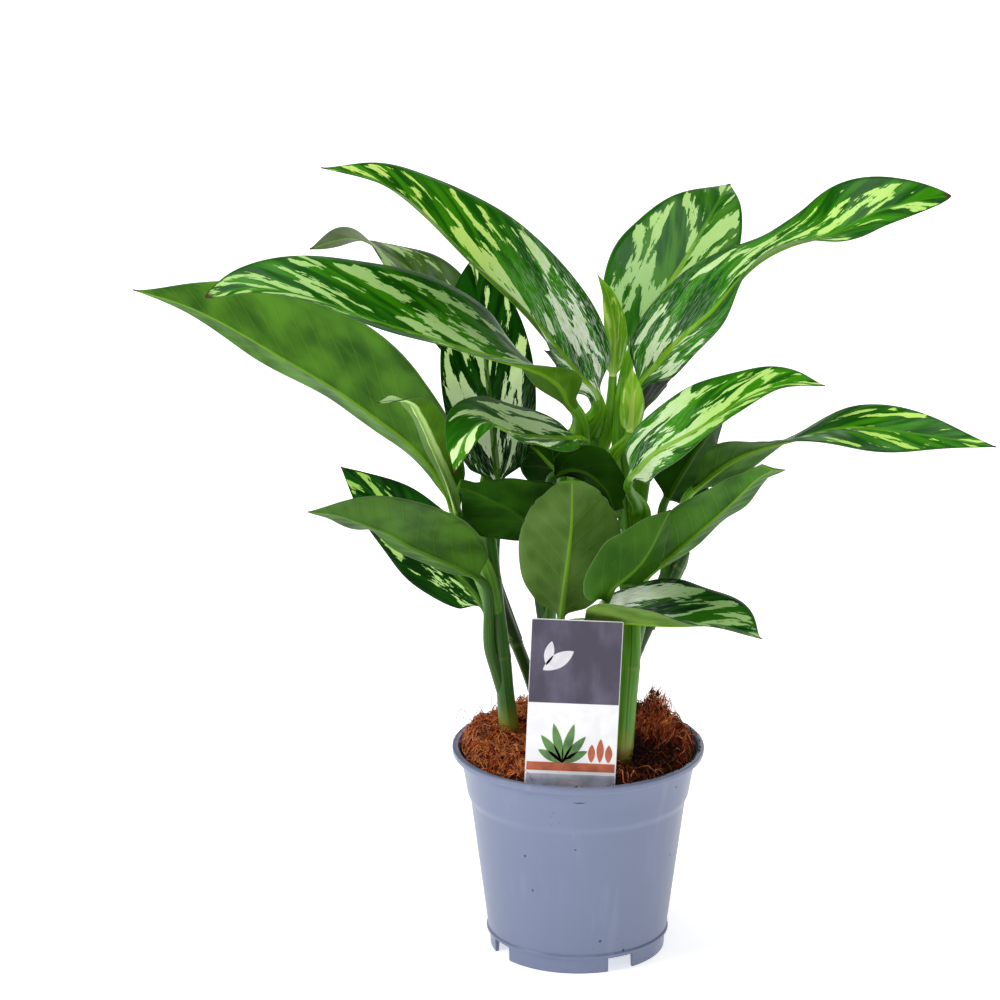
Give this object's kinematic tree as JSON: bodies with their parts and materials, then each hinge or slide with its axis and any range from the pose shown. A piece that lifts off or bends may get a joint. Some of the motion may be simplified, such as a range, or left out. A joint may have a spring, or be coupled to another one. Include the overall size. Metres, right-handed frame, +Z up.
{
  "type": "potted chinese evergreen",
  "caption": "Variegated Chinese evergreen with arching lance-shaped leaves on upright canes, growing in coir in a tapered nursery pot with a blank plant label.",
  "frame": {"origin": "centre of the pot's underside, on the surface the pot stands on", "axes": "+Z up along the pot's axis, -Y towards the front of the plant, where the label stands, +X to the right seen from the front"},
  "size_m": [0.4018, 0.1909, 0.4006],
  "materials": {
    "pot_plastic": "satin",
    "coir": "matte",
    "label_sheet": "satin",
    "cane": "satin",
    "leaf": "satin",
    "shoot": "satin"
  },
  "bodies": {
    "root": {"pot": "pot_plastic", "soil": "coir", "plant_label": "label_sheet", "cane_left": "cane", "cane_right": "cane", "cane_centre": "cane", "cane_rear_left": "cane", "cane_rear_right": "cane", "leaf_top_arch": "leaf", "leaf_left_arch": "leaf", "leaf_far_left": "leaf", "leaf_left_bent": "leaf", "leaf_rear_left_curled": "leaf", "leaf_rear_upright": "leaf", "leaf_right_upright": "leaf", "leaf_right_arch": "leaf", "leaf_right_middle": "leaf", "leaf_far_right_twisted": "leaf", "leaf_rear_right_short": "leaf", "leaf_right_lower": "leaf", "leaf_right_narrow": "leaf", "leaf_front_round": "leaf", "leaf_front_left_dark": "leaf", "leaf_centre_dark": "leaf", "leaf_centre_strip": "leaf", "leaf_left_nodding": "leaf", "leaf_low_left": "leaf", "leaf_low_left_rear": "leaf", "leaf_low_right": "leaf", "leaf_rear_right_dark": "leaf", "leaf_rear_centre_dark": "leaf", "leaf_new_shoot": "shoot", "leaf_rolled_spear": "shoot"}
  },
  "joints": []
}
